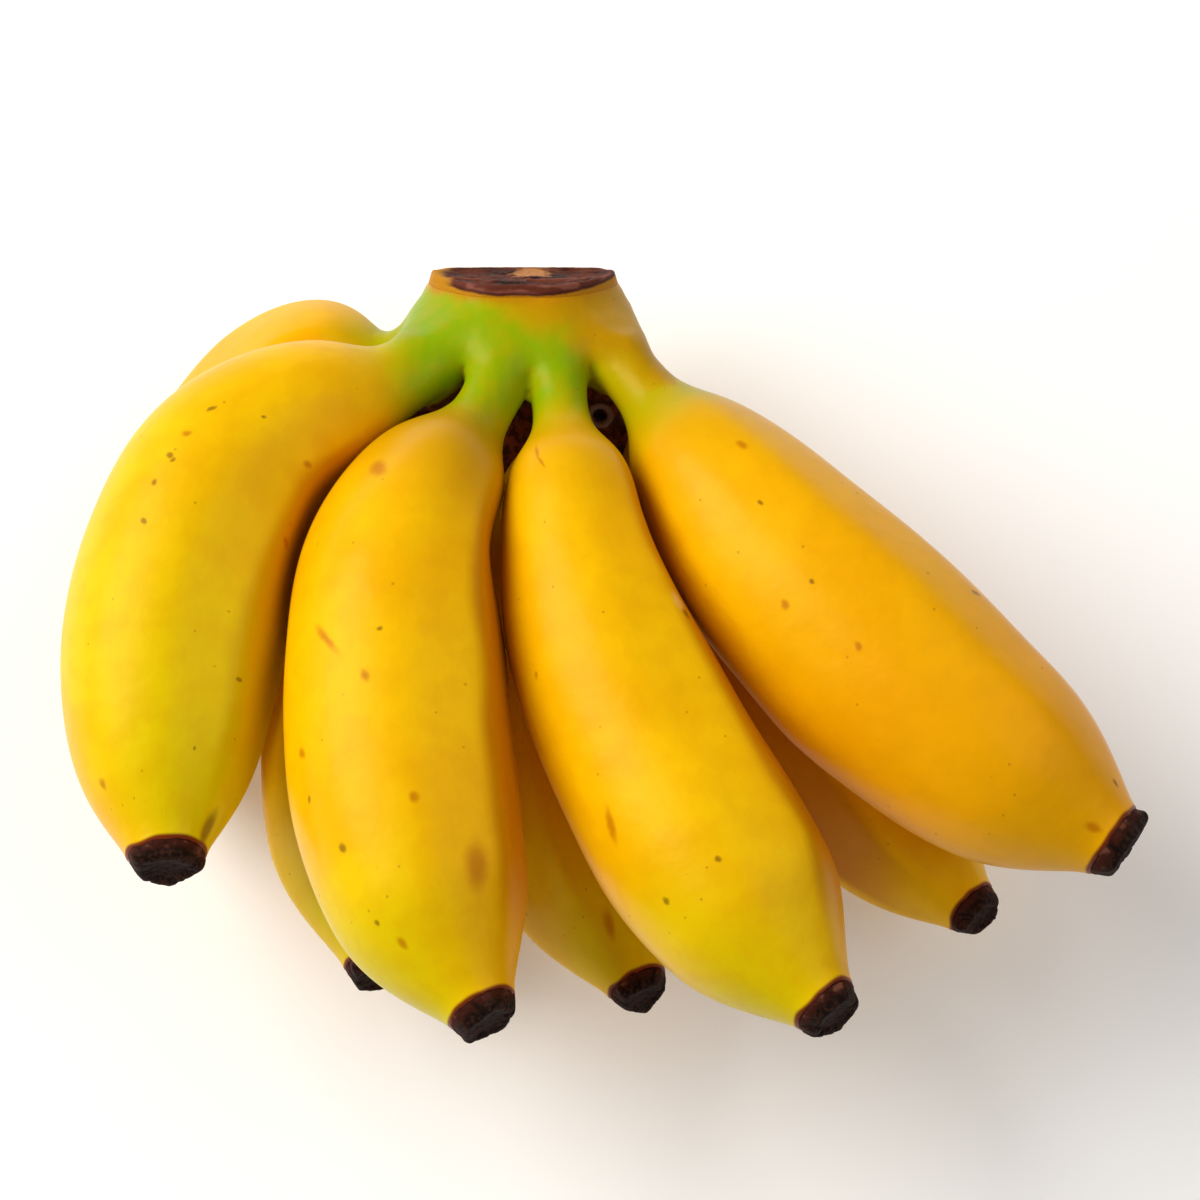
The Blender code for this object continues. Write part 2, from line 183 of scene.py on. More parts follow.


# The hand. Each finger has its fullest radius, the length of its slim neck, how slowly it swells past
# the neck, how stout its neck and its nose are next to the usual, the ways its flats face (degrees
# round it, 90 is up), where its neighbours press it in (distance along it, degrees round it, depth),
# the points that its centre line passes, how green its neck still is and how far that starts and ends
# past the usual, how lime it is, which way that faces and how far from the blossom end it starts, how
# amber it is near the neck and near the blossom end, how much painted shade darkens its shoulder, and
# how deeply one side is painted in shade, a deep gold that is partly the skin's own, and which way that
# faces.
fingers = {
    "front_1": {
        "radius": 17.4, "neck": 18, "swell": 1.0, "stout": 1.18, "nose": 1.0,
        "flats": (172, 114, 84, 54, 25, 357, 325, 277, 227),
        "pressed": (
            (37, 158, 1.6), (92, 0, 0.6), (17, 145, -3.4), (26, 185, -1.6), (52, 35, -1.8), (80, 188, -2.0),
        ),
        "route": (
            (-23, 59.5, 38.8), (-32.6, 47.5, 42), (-45, 41, 45), (-58.5, 31, 47.5),
            (-67, 16, 50.5), (-71.5, -2, 52.5), (-71, -20, 54.5), (-69, -40.5, 60.5),
        ),
        "green": 1.0, "greenRun": (-8, 0), "lime": (0.65, 150, 95),
        "amber": (0.1, 0.0), "dull": 0.0, "flank": (0.85, 168),
    },
    "front_2": {
        "radius": 18.2, "neck": 24.0, "swell": 1.0, "stout": 0.87, "nose": 0.87,
        "flats": (170, 112, 84, 56, 26, 356, 318, 272, 224),
        "pressed": ((37, 45, 3.0), (43, 205, 2.7), (117, 180, 1.2), (117, 350, 0.5), (20, 188, -4.4)),
        "route": (
            (-16, 59.5, 39.5), (-17.6, 45.5, 44.5), (-24.6, 31.5, 50), (-32.3, 14.5, 55),
            (-33.5, -5.5, 58), (-31.7, -28.5, 60), (-25.5, -48.8, 63), (-17, -65.5, 68.5),
        ),
        "green": 0.95, "greenRun": (0, 0), "lime": (0.75, 345, 50),
        "amber": (0.15, 0.1), "dull": 0.9, "flank": (0.85, 168),
    },
    "front_3": {
        "radius": 17.7, "neck": 23.2, "swell": 1.6, "stout": 0.95, "nose": 0.86,
        "flats": (170, 112, 84, 56, 28, 357, 318, 272, 224),
        "pressed": ((37, 190, 2.0), (37, 0, 1.5), (60, 0, -0.3), (52, 175, 1.0), (120, 350, 0.8)),
        "route": (
            (-9, 59.5, 39.5), (-6.9, 42, 44.5), (-5.5, 28.5, 48.5), (-3.5, 12.5, 52.5),
            (2.5, -8, 55.5), (12, -28.5, 58), (23.5, -47.5, 61.5), (37, -64.5, 68),
        ),
        "green": 1.0, "greenRun": (0, 0), "lime": (0.6, 10, 45),
        "amber": (0.1, 0.1), "dull": 0.45, "flank": (0.85, 168),
    },
    "front_4": {
        "radius": 18.4, "neck": 20.5, "swell": 0.8, "stout": 1.0, "nose": 0.96,
        "flats": (178, 139, 94, 61, 28, 354, 318, 270, 222),
        "pressed": ((39, 15, 2.2), (45, 270, 0.8), (30, 160, 1.0), (82, 0, -2.0)),
        "route": (
            (-3, 60, 38.5), (4.9, 47.3, 42), (10.8, 39.2, 43.2), (18.5, 27.5, 45.5),
            (30.0, 12.4, 49), (43.8, -1.2, 51.5), (59.2, -16.9, 53), (73.2, -27.7, 54), (84.9, -36.7, 56.5),
        ),
        "green": 0.55, "greenRun": (-4, 7), "lime": (0.15, 0, 45),
        "amber": (0.15, 0.9), "dull": 0.5, "flank": (0.8, 200),
    },
    "back_1": {
        "radius": 15.4, "neck": 11.5, "swell": 0.6, "stout": 0.85, "nose": 0.95,
        "flats": (180, 108, 36, 324, 252),
        "pressed": ((20, 210, 1.2), (40, 180, 0.6), (41, 110, 1.0)),
        "route": (
            (-25.2, 61.8, 33), (-31.5, 56.2, 30), (-37.2, 53.4, 27.4), (-47.0, 52.8, 24.2),
            (-60.8, 40.4, 19), (-71, 19.5, 15.5), (-73, -3.5, 16), (-69, -27, 20.5),
        ),
        "green": 0.9, "greenRun": (-6, 5), "lime": (0.35, 200, 50),
        "amber": (0.3, 0.3), "dull": 0.0, "flank": (0.0, 0),
    },
    "back_2": {
        "radius": 15.4, "neck": 18, "swell": 1.0, "stout": 1.0, "nose": 0.92,
        "flats": (180, 108, 36, 324, 252),
        "pressed": (),
        "route": (
            (-17.5, 63, 32), (-20, 51, 29), (-26.5, 42, 23.5), (-35.5, 27, 18.5),
            (-40, 6, 15.6), (-41.5, -13.5, 16.2), (-40, -34.8, 20), (-37.3, -54.3, 26.8),
        ),
        "green": 0.8, "greenRun": (0, 0), "lime": (0.7, 90, 50),
        "amber": (0.3, 0.1), "dull": 0.3, "flank": (0.0, 0),
    },
    "back_3": {
        "radius": 15.2, "neck": 18, "swell": 1.0, "stout": 1.0, "nose": 0.92,
        "flats": (180, 108, 36, 324, 252),
        "pressed": (),
        "route": (
            (-9.5, 63, 32), (-8.5, 51, 29), (-8.5, 40.5, 23), (-8.7, 23.5, 17.5),
            (-8, -1, 15.3), (-5.5, -20.5, 16.8), (0, -40, 21), (7.5, -57.5, 27.5),
        ),
        "green": 0.8, "greenRun": (0, 0), "lime": (0.5, 90, 50),
        "amber": (0.6, 0.3), "dull": 0.3, "flank": (0.3, 0),
    },
    "back_4": {
        "radius": 15.3, "neck": 16, "swell": 1.0, "stout": 1.0, "nose": 0.9,
        "flats": (30, 104, 163, 216, 270, 324),
        "pressed": ((45, 90, 0.8), (45, 0, 0.9), (74, 15, -2.8)),
        "route": (
            (-3.5, 62.5, 33), (1, 52, 30), (8.5, 42, 23.5), (21.5, 22, 16.4),
            (35.3, -1.2, 14.7), (47, -20, 16.2), (56.4, -34.3, 19.8), (65, -43.5, 24),
        ),
        "green": 0.7, "greenRun": (0, 0), "lime": (0.1, 90, 50),
        "amber": (0.1, 0.1), "dull": 0.3, "flank": (1.0, 36),
    },
}

# How every finger is shaped along its length
fingerShape = {
    # radius as a share of the fullest: by distance past the neck, and by distance left to the blossom end
    "shoulder": (
        (-20, 0.36), (-10, 0.32), (-2, 0.29), (3, 0.36), (9, 0.57), (17, 0.75), (28, 0.88), (44, 0.97),
    ),
    "nose": ((36, 0.995), (27, 0.95), (20, 0.86), (13.5, 0.71), (7, 0.49), (3, 0.37), (0, 0.35)),
    "swellFrom": 9.0,  # a finger that swells slowly does so from here on
    "stoutReach": (-2.0, 9.0),  # its own neck width fades out between these, by distance past the neck
    "noseReach": (3.0, 20.0),  # and its own nose width fades in between these, by distance left
    "flatFade": 25.0,  # the flats fade in and out over this distance
    "flatSharpness": 16,  # the higher, the crisper the ridges
    "flatEnds": (0.15, 0.2),  # what is left of them at the neck and at the blossom end
    "pressLength": 15.0,  # how far a press or a swelling reaches along the finger
    "pressWidth": 40.0,  # and round it, in degrees
    "seamPastNeck": 3.0,  # the crown's skin runs on this far past the neck
    "skinEnd": 3.0,  # distance from the skin's edge to the tip of the blossom end
    "tuck": 3.0,  # how far the skin runs on under the crown's
    "tuckSink": 0.05,  # how fast it sinks there, in mm for each square mm
    "rings": 200,
    "sides": 112,
    "steadyEnds": (12.0, 8.0),  # no swellings this close to the neck and to the blossom end
    "wobble": 0.16,  # low swellings of the skin
    "wobbleLength": 17.0,
    "borderWaver": 0.45,  # how unevenly the skin ends at the blossom end
    "borderTurns": 1.7,  # and how often that changes round it
    "lip": 0.9,  # the skin rolls in over this distance there
    "lipSink": 1.1,
}


def spline(knots, values, at):  # a natural cubic spline
    knots = np.asarray(knots, float)
    values = np.asarray(values, float).reshape(len(knots), -1)
    count = len(knots)
    step = np.diff(knots)
    matrix = np.eye(count)
    right = np.zeros_like(values)
    for i in range(1, count - 1):
        matrix[i, i - 1 : i + 2] = step[i - 1], 2 * (step[i - 1] + step[i]), step[i]
        right[i] = 6 * ((values[i + 1] - values[i]) / step[i] - (values[i] - values[i - 1]) / step[i - 1])
    bend = np.linalg.solve(matrix, right)
    at = np.atleast_1d(at)
    i = np.clip(np.searchsorted(knots, at) - 1, 0, count - 2)
    low = ((knots[i + 1] - at) / step[i])[:, None]
    high = ((at - knots[i]) / step[i])[:, None]
    span = (step[i] ** 2 / 6)[:, None]
    curve = low * values[i] + high * values[i + 1]
    return curve + span * ((low**3 - low) * bend[i] + (high**3 - high) * bend[i + 1])


def unit(vectors):
    return vectors / np.linalg.norm(vectors, axis=-1, keepdims=True)


def traceCentre(finger):  # the centre line: distance along it, its points, and the ways ahead, aside and up
    route = np.array(finger["route"], float)
    chords = np.append(0, np.cumsum(np.linalg.norm(np.diff(route, axis=0), axis=1)))
    points = spline(chords, route, np.linspace(0, chords[-1], 300))
    along = np.append(0, np.cumsum(np.linalg.norm(np.diff(points, axis=0), axis=1)))
    ahead = unit(np.gradient(points, along, axis=0))
    aside = unit(np.cross(ahead, (0, 0, 1)))
    top = np.cross(aside, ahead)
    finger["along"] = along
    finger["lines"] = (points, ahead, aside, top)
    finger["length"] = along[-1]


def centreAt(finger, distance):
    picked = []
    for line in finger["lines"]:
        picked.append(np.stack([np.interp(distance, finger["along"], line[:, k]) for k in range(3)], -1))
    return [picked[0]] + [unit(line) for line in picked[1:]]


def radiusAt(finger, distance):
    knots = []
    shares = []
    for past, share in fingerShape["shoulder"]:
        slow = max(past - fingerShape["swellFrom"], 0) * (finger["swell"] - 1)
        place = finger["neck"] + past + slow
        if place > -9:
            own = np.interp(past, fingerShape["stoutReach"], (1, 0))
            knots.append(place)
            shares.append(share * (1 + (finger["stout"] - 1) * own))
    for left, share in fingerShape["nose"]:
        own = np.interp(left, fingerShape["noseReach"], (1, 0))
        knots.append(finger["length"] - left)
        shares.append(share * (1 + (finger["nose"] - 1) * own))
    return finger["radius"] * spline(knots, shares, distance.ravel())[:, 0].reshape(distance.shape)


def polygonAt(finger, angle):
    total = np.zeros_like(angle)
    for flat in finger["flats"]:
        total += np.maximum(0, np.cos(angle - np.radians(flat))) ** fingerShape["flatSharpness"]
    return total ** (-1 / fingerShape["flatSharpness"])


def seamAt(finger):  # how far along it the crown's skin gives way to the banana's
    return finger["neck"] + fingerShape["seamPastNeck"]


def degreesFrom(way, angle):
    return (np.degrees(angle) - way + 180) % 360 - 180


def surfaceRadius(finger, distance, angle):  # the skin's distance from the centre line
    full = np.linspace(0, 2 * np.pi, 360, endpoint=False)
    polygon = polygonAt(finger, angle) / polygonAt(finger, full).mean()
    least, leastOut = fingerShape["flatEnds"]
    fadeIn = np.clip((distance - finger["neck"]) / fingerShape["flatFade"], least, 1)
    fadeOut = np.clip((finger["length"] - distance) / fingerShape["flatFade"], leastOut, 1)
    shares = 1 + (polygon - 1) * fadeIn * fadeOut
    for place, way, depth in finger["pressed"]:
        along = (distance - place) / fingerShape["pressLength"]
        across = degreesFrom(way, angle) / fingerShape["pressWidth"]
        shares = shares - depth / finger["radius"] * np.exp(-(along**2) - across**2)
    return radiusAt(finger, distance) * shares


def smoothStep(low, high, value):
    share = np.clip((value - low) / (high - low), 0, 1)
    return share * share * (3 - 2 * share)


def roughness(points, size):  # smooth noise from -1 to 1, with swellings of that size in mm
    flat = points.reshape(-1, 3) / size
    return np.array([noise.noise(Vector(p)) for p in flat]).reshape(points.shape[:-1])


def rollSheet(name, points, fields):
    # A sheet of squares rolled into a tube through the points, ring by ring. Its seam is merged, its
    # ends close on a point, and the fields are kept on its corners.
    rings, sides = points.shape[:2]
    sheet = bmesh.new()
    bmesh.ops.create_grid(sheet, x_segments=sides, y_segments=rings - 1, size=1)
    layers = {}
    for key, field in fields.items():
        kinds = sheet.verts.layers.float_vector if field.ndim == 3 else sheet.verts.layers.float
        layers[key] = kinds.new(key)
    sheet.verts.ensure_lookup_table()
    for vertex in sheet.verts:
        ring = round((vertex.co.y + 1) / 2 * (rings - 1))
        side = round((vertex.co.x + 1) / 2 * sides) % sides
        vertex.co = points[ring, side] * mm
        for key, layer in layers.items():
            vertex[layer] = fields[key][ring, side]
    bmesh.ops.remove_doubles(sheet, verts=sheet.verts, dist=1e-7)
    bmesh.ops.recalc_face_normals(sheet, faces=sheet.faces)
    return newPiece(name, sheet)


def newPiece(name, mesh):
    for face in mesh.faces:
        face.smooth = True
    data = bpy.data.meshes.new(name)
    mesh.to_mesh(data)
    mesh.free()
    made = bpy.data.objects.new(name, data)
    bpy.context.scene.collection.objects.link(made)
    return made


for finger in fingers.values():
    traceCentre(finger)


# How ripe the skin is, from the neck to the blossom end
ripening = {
    "greenRise": (-3.0, 9.0),  # the neck turns green between these distances from its root
    "greenFall": (-5.0, 9.0),  # and yellow between these distances past its end
    "dullRise": (-9.0, 3.0),  # painted shade darkens the shoulder: full and gone at these distances past the neck
    "dullFall": (5.0, 30.0),
    "limeFull": 6.0,  # the lime is full this close to the blossom end
    "amberEnds": (20.0, 15.0),  # the amber changes from this far along the finger to this far from its end
    # how unevenly each colour ends, in mm or degrees, and the size of its swellings in mm
    "greenWaver": (3.0, 9.0),
    "limeWaver": (8.0, 14.0),
    "amberWaver": (8.0, 20.0),
    "flankWaver": (5.0, 12.0),
    "flankWidth": (36, 26),  # the painted shade on a side starts and is full at these degrees from its middle
    "flankEnds": (4.0, 22.0, 6.0, 20.0),  # and at these distances past the neck, and from the blossom end
    "guideRadius": 16.0,  # the fibres run along lines on a tube this wide
}


def waver(kind, points):
    reach, size = ripening[kind + "Waver"]
    return reach * roughness(points, size)


def greenAt(finger, distance, points):
    shift = waver("green", points)
    early, late = finger["greenRun"]
    risen = smoothStep(*ripening["greenRise"], distance - early + shift)
    fallen = smoothStep(*ripening["greenFall"], distance - late - finger["neck"] + shift)
    return finger["green"] * risen * (1 - fallen)


def limeAt(finger, distance, angle, points):
    share, way, first = finger["lime"]
    left = finger["length"] - distance
    near = 1 - smoothStep(ripening["limeFull"], first, left + waver("lime", points))
    return share * near * (0.5 + 0.5 * np.cos(angle - math.radians(way)))


def amberAt(finger, distance, points):
    first, left = ripening["amberEnds"]
    run = smoothStep(first, finger["length"] - left, distance + waver("amber", points))
    nearNeck, nearEnd = finger["amber"]
    return nearNeck + (nearEnd - nearNeck) * run


# painted shade on the shoulder, strongest just past the neck
def shoulderShadeAt(finger, distance):
    past = distance - finger["neck"]
    fallen = smoothStep(*ripening["dullFall"], past)
    return finger["dull"] * smoothStep(*ripening["dullRise"], past) * (1 - fallen)


# painted shade down one side, a deep gold that is partly the skin's own
def shadedFlankAt(finger, distance, angle, points):
    share, way = finger["flank"]
    turn = degreesFrom(way, angle) + waver("flank", points)
    first, full, none, last = ripening["flankEnds"]
    run = smoothStep(first, full, distance - finger["neck"])
    run = run * smoothStep(none, last, finger["length"] - distance)
    return share * run * smoothStep(*ripening["flankWidth"], np.abs(turn))


def makeFinger(name, finger):
    start = seamAt(finger)
    end = finger["length"] - fingerShape["skinEnd"]
    angle = np.linspace(0, 2 * np.pi, fingerShape["sides"], endpoint=False)
    circle = np.stack([np.cos(angle), np.sin(angle), 0 * angle + start], -1)
    border = end + fingerShape["borderWaver"] * roughness(circle * fingerShape["borderTurns"], 1.0)
    first = start - fingerShape["tuck"]
    run = np.linspace(0, 1, fingerShape["rings"])[:, None]
    distance = first + run * (border + fingerShape["lip"] - first)[None, :]
    angle = angle[None, :] + 0 * distance
    centre, ahead, aside, top = centreAt(finger, distance)
    out = aside * np.cos(angle)[..., None] + top * np.sin(angle)[..., None]
    radius = surfaceRadius(finger, distance, angle)
    points = centre + out * radius[..., None]
    nearNeck, nearEnd = fingerShape["steadyEnds"]
    steady = smoothStep(start, start + nearNeck, distance) * (1 - smoothStep(end - nearEnd, end, distance))
    radius += fingerShape["wobble"] * steady * roughness(points, fingerShape["wobbleLength"])
    radius -= fingerShape["tuckSink"] * np.clip(start - distance, 0, None) ** 2
    radius -= fingerShape["lipSink"] * np.clip(distance - border, 0, None)
    points = centre + out * radius[..., None]
    points[..., 2] = np.maximum(points[..., 2], 0)
    guide = ripening["guideRadius"]
    fields = {
        "green": greenAt(finger, distance, points),
        "lime": limeAt(finger, distance, angle, points),
        "amber": amberAt(finger, distance, points),
        "dull": shoulderShadeAt(finger, distance),
        "flank": shadedFlankAt(finger, distance, angle, points),
        "left": border - distance,
        "flow": np.stack([guide * np.cos(angle), guide * np.sin(angle), distance], -1),
    }
    closed = np.concatenate([centre[:1], points, centre[-1:]])
    fields = {key: np.concatenate([field[:1], field, field[-1:]]) for key, field in fields.items()}
    made = rollSheet("banana_" + name, closed, fields)
    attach(made, "root")
    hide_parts("finger_" + name)
    return made


# The dried blossom end: distance past the skin's edge, and radius as a share of the nose's
tipShape = {
    "profile": (
        (-1.6, 0.86), (-0.9, 0.92), (-0.3, 0.955), (0.3, 0.96), (0.9, 0.93), (1.5, 0.885), (2.1, 0.83),
        (2.6, 0.765), (2.9, 0.695), (2.97, 0.62), (2.85, 0.54), (2.6, 0.45), (2.45, 0.33), (2.4, 0.2),
        (2.4, 0.0),
    ),
    "rings": 56,
    "sides": 120,
    "corners": 5,
    "cornerShift": 0.28,  # how far each is off its even place, as a share of the way to the next
    "cornerSharpness": 16,
    "faceting": 1.5,  # how far the dried flesh shrinks to flats between its corners
    "creases": 9,
    "creaseWidth": (0.05, 0.12),  # in radians round the wall
    "creaseDepth": 0.22,
    "rough": 0.12,
    "lean": 0.09,  # how far the face may tip
}


def makeTip(name, finger, seed):
    draw = random.Random(seed)
    end = finger["length"] - fingerShape["skinEnd"]
    profile = np.array(tipShape["profile"])
    steps = np.append(0, np.cumsum(np.hypot(np.diff(profile[:, 0]), np.diff(profile[:, 1] * 6))))
    smooth = spline(steps, profile, np.linspace(0, steps[-1], tipShape["rings"]))
    past = smooth[:, :1]
    share = np.maximum(smooth[:, 1:], 0)
    share[-1] = 0
    angle = np.linspace(0, 2 * np.pi, tipShape["sides"], endpoint=False)
    centre, ahead, aside, top = centreAt(finger, np.array([end]))
    nose = surfaceRadius(finger, np.full_like(angle, end), angle)
    out = aside * np.cos(angle)[:, None] + top * np.sin(angle)[:, None]
    corners = np.zeros_like(angle)
    first = draw.uniform(0, 2 * np.pi)
    for i in range(tipShape["corners"]):
        shift = draw.uniform(-tipShape["cornerShift"], tipShape["cornerShift"])
        way = first + (i + shift) * 2 * np.pi / tipShape["corners"]
        corners += np.maximum(0, np.cos(angle - way)) ** tipShape["cornerSharpness"]
    polygon = corners ** (-1 / tipShape["cornerSharpness"])
    polygon = (polygon / polygon.mean() - 1) * tipShape["faceting"]
    grow = smoothStep(-0.4, 2.6, past) * 0.55
    # creases run down the wall from the skin and die out on the face
    crease = np.zeros((tipShape["rings"], tipShape["sides"]))
    for i in range(tipShape["creases"]):
        way = draw.uniform(0, 2 * np.pi)
        width = draw.uniform(*tipShape["creaseWidth"])
        turn = (angle - way + np.pi) % (2 * np.pi) - np.pi
        bent = turn[None, :] - draw.uniform(-0.1, 0.1) * past
        crease += draw.uniform(0.4, 1) * np.exp(-((bent / width) ** 2))
    crease *= smoothStep(-0.3, 0.8, past) * smoothStep(0.3, 0.6, share)
    radius = nose[None, :] * share * (1 + polygon[None, :] * grow)
    points = centre + ahead * past[..., None] + out[None] * radius[..., None]
    shift = np.array((seed * 7.1, seed * 3.3, 0))
    rough = roughness(points + shift, 2.2) + 0.7 * roughness(points + shift, 1.0)
    rough += 0.4 * roughness(points, 0.5)
    firm = 0.25 + 0.75 * smoothStep(-0.8, 0.6, past)
    lift = (tipShape["rough"] * rough - tipShape["creaseDepth"] * crease) * firm
    tilted = smoothStep(0.55, 0.85, share)
    direction = unit(out[None] * tilted[..., None] + ahead * (1.15 - tilted)[..., None])
    points = points + direction * lift[..., None]
    lean = [draw.uniform(-tipShape["lean"], tipShape["lean"]) for _ in range(2)]
    skew = ((points - centre) @ aside[0]) * lean[0] + ((points - centre) @ top[0]) * lean[1]
    points = points + ahead * (skew * smoothStep(0, 2.5, past))[..., None]
    fields = {
        "past": past + 0 * lift,
        "share": share + 0 * lift,
        "lift": lift,
    }
    fields = {key: np.concatenate([field[:1], field]) for key, field in fields.items()}
    made = rollSheet("blossom_end_" + name, np.concatenate([centre[None] + 0 * points[:1], points]), fields)
    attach(made, "root")
    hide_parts("tip_" + name)
    return made


pieces = {}
for name, finger in fingers.items():
    pieces["banana_" + name] = makeFinger(name, finger)
print("eight bananas are shaped")
for number, (name, finger) in enumerate(fingers.items()):
    pieces["blossom_end_" + name] = makeTip(name, finger, number + 3)
print("eight blossom ends are shaped")


# The crown: a core that is rounder on its upper side, the necks that run out of it, and webs of skin
# between the lower necks, which close the view down through the upper ones
crownShape = {
    "cutCentre": (-13.2, 65.9, 37.2),
    "cutTilt": 29.0,
    "cutThickness": 1.6,
    # depth below the cut, half width, reach above the widest line and below it
    "core": (
        (-3, 14.6, 9.5, 2.9), (0, 15.4, 10, 3.4), (5, 17.8, 12.5, 6.2), (9, 18.4, 13.3, 7.5),
        (13, 16.6, 13, 8), (16, 14, 11.5, 7), (20, 9, 7, 4),
    ),
    "upperSquareness": 2.1,  # 2 is round, more is squarer
    "lowerSquareness": 4.5,
    # a neck's root runs on this far past the cut, drawn in and thinned by these shares
    "rootPastCut": 2.0,
    "rootSpread": 0.5,
    "rootTaper": 0.6,
    # how widely the skin fills in, by depth: between the upper necks, and between those and the rest
    "web": ((0, 1.2), (4, 5.0), (9, 7.0), (11.5, 3.5), (14, 1.2)),
    "melt": ((0, 1.2), (4, 5.0), (10, 8.0), (17, 7.0), (24, 3.0)),
    "meltFade": 9.0,  # it dies out over this distance before the bananas take over
    "lowerWeb": 3.0,
    # nothing stands out past these near the cut, which gives it a straight far side and pointed corners
    "limit": (
        (-3, 14.4, 13.0, 0.9), (0, 15.8, 14.8, 1.3), (4, 18.8, 18.4, 4), (7, 24, 25, 8), (9, 42, 46, 24),
        (11, 90, 99, 60), (14, 200, 200, 150),
    ),
    "limitShift": 2.2,  # its widest line is this far towards the far side
    "limitPowers": (1.6, 3.0),
    "limitBlend": ((0, 0.8), (4, 2.0), (8, 3.0), (11, 1.0)),
    # both ends of each web of skin, and its radius there
    "webs": (
        ((-3, 54, 34), 5.2, (0.5, 44, 30), 5.0),
        ((0.5, 44, 30), 5.0, (1.5, 37, 25.5), 3.6),
        ((-13.5, 55, 32), 5.0, (-14, 44, 27), 4.4),
        ((-14, 44, 27), 4.4, (-17.5, 33, 22), 3.4),
        ((-21, 55, 34), 5.0, (-27, 46, 34.5), 4.4),
        ((-27, 46, 34.5), 4.4, (-31.5, 39.5, 34.5), 3.4),
    ),
    "creaseDepth": (3.0, 12.5),  # the creases between these depths below the cut are softened
    "creaseTurns": 14,
    "seamKept": 4.0,  # but none this close to a banana
    "voxel": 0.75,
    "neckRings": 12,
    "webBalls": 7,
    "sides": 40,
}


def cutAxes():
    tilt = math.radians(crownShape["cutTilt"])
    outward = np.array((0, math.cos(tilt), math.sin(tilt)))
    wide = np.array((1.0, 0, 0))
    return np.array(crownShape["cutCentre"]), outward, wide, np.cross(outward, wide)


def depthAt(points):
    centre, outward, wide, thick = cutAxes()
    return (centre - points) @ outward


def rimField(points, rings, upper, lower, shift=0):  # how far points stand off a cushion given by its rings
    centre, outward, wide, thick = cutAxes()
    aside = points - centre
    depth = -aside @ outward
    rings = np.array(rings)
    halfWidth = np.interp(depth, rings[:, 0], rings[:, 1])
    across = np.abs(aside @ wide) / halfWidth
    down = aside @ thick - shift
    reach = np.interp(depth, rings[:, 0], rings[:, 2])
    reach = np.where(down > 0, np.interp(depth, rings[:, 0], rings[:, 3]), reach)
    power = np.where(down > 0, lower, upper)
    through = np.abs(down) / reach
    return ((across**power + through**power) ** (1 / power) - 1) * np.minimum(reach, halfWidth)


def coreField(points):
    rings = crownShape["core"]
    rim = rimField(points, rings, crownShape["upperSquareness"], crownShape["lowerSquareness"])
    return np.maximum(rim, depthAt(points) - rings[-1][0])


def rootEnds(finger):  # where a neck's root starts, and where it runs to past the cut
    centre, outward, wide, thick = cutAxes()
    start = finger["lines"][0][0]
    away = start - centre
    away = away - outward * (away @ outward)
    return start, centre + outward * crownShape["rootPastCut"] + away * crownShape["rootSpread"]


def capsuleField(points, start, end, startRadius, endRadius):
    run = end - start
    share = np.clip((points - start) @ run / (run @ run), 0, 1)
    radius = startRadius + (endRadius - startRadius) * share
    return np.linalg.norm(points - (start + share[:, None] * run), axis=-1) - radius


def neckField(finger, points):  # how far points stand off the neck's skin, and how far along it they are
    samples = np.arange(0, finger["neck"] + 9, 1.0)
    lines = centreAt(finger, samples)
    gap = ((points[:, None, :] - lines[0][None]) ** 2).sum(-1)
    nearest = gap.argmin(1)
    distance = samples[nearest] + ((points - lines[0][nearest]) * lines[1][nearest]).sum(-1)
    inside = np.clip(distance, 0, samples[-1])
    middle, ahead, aside, top = centreAt(finger, inside)
    off = points - middle
    angle = np.arctan2((off * top).sum(-1), (off * aside).sum(-1))
    neck = np.linalg.norm(off, axis=-1) - surfaceRadius(finger, inside, angle)
    neck = neck + fingerShape["tuckSink"] * np.clip(distance - seamAt(finger), 0, None) ** 2
    start, target = rootEnds(finger)
    rootRadius = radiusAt(finger, np.zeros(1))[0]
    root = capsuleField(points, start, target, rootRadius, rootRadius * crownShape["rootTaper"])
    return np.minimum(neck, root), distance


def meltFields(fields, width):  # one skin over several forms, filled in where they meet
    joined = fields[0]
    for field in fields[1:]:
        share = np.maximum(width - np.abs(joined - field), 0) / width
        joined = np.minimum(joined, field) - share**2 * width / 4
    return joined


def crownField(points):
    # the smooth skin of the whole crown, each neck's own field, and the distance along each neck
    depth = depthAt(points)
    fields = []
    distances = []
    for finger in fingers.values():
        field, distance = neckField(finger, points)
        fields.append(field)
        distances.append(distance)
    bridges = np.full(len(points), 50.0)
    for start, startRadius, end, endRadius in crownShape["webs"]:
        bridge = capsuleField(points, np.array(start), np.array(end), startRadius, endRadius)
        bridges = np.minimum(bridges, bridge)
    upper = meltFields(fields[:4], np.interp(depth, *zip(*crownShape["web"])))
    # the filling dies out towards the ends of the upper necks, where the bananas take over
    past = [distance - seamAt(finger) for distance, finger in zip(distances, fingers.values())]
    nearest = np.argmin(fields[:4], axis=0)
    free = smoothStep(0, -crownShape["meltFade"], np.choose(nearest, past[:4]))
    lower = meltFields([coreField(points)] + fields[4:] + [bridges], crownShape["lowerWeb"])
    joined = meltFields([upper, lower], 0.1 + free * np.interp(depth, *zip(*crownShape["melt"])))
    limit = rimField(points, crownShape["limit"], *crownShape["limitPowers"], crownShape["limitShift"])
    joined = -meltFields([-joined, -limit], np.interp(depth, *zip(*crownShape["limitBlend"])))
    return joined, np.array(fields), np.array(distances), bridges


